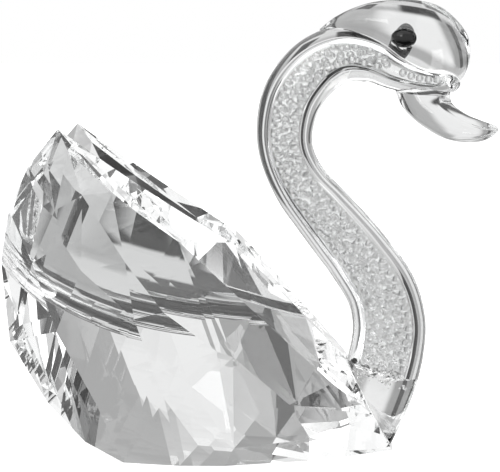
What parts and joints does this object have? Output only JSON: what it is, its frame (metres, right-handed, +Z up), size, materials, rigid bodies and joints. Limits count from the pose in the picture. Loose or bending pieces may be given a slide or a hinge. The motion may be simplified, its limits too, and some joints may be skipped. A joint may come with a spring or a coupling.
{
  "type": "crystal glass swan figurine",
  "caption": "Cut-crystal swan with a hollow between two raised wings and an S-shaped glass tube neck filled with small glass beads, carrying a clear head, black eyes and a clear beak.",
  "frame": {"origin": "middle of the swan's outline at the surface it stands on", "axes": "+X is the way the swan faces, +Y its left side, +Z up"},
  "size_m": [0.0797, 0.046, 0.0723],
  "materials": {
    "cut_crystal": "cut and polished, clear",
    "tube_glass": "flame-worked, clear",
    "lamp_glass": "flame-worked, clear",
    "bead_glass": "clear round beads",
    "resin": "clear cast resin",
    "adhesive": "clear adhesive film",
    "black_glass": "gloss black glass"
  },
  "bodies": {
    "root": {"crystal_body": "cut_crystal", "neck_bond": "adhesive", "neck_tube": "tube_glass", "resin_plug": "resin", "beads_lower": "bead_glass", "beads_middle": "bead_glass", "beads_upper": "bead_glass", "head": "lamp_glass", "eye_left": "black_glass", "eye_right": "black_glass", "beak": "lamp_glass", "beak_bond": "adhesive"}
  },
  "joints": []
}
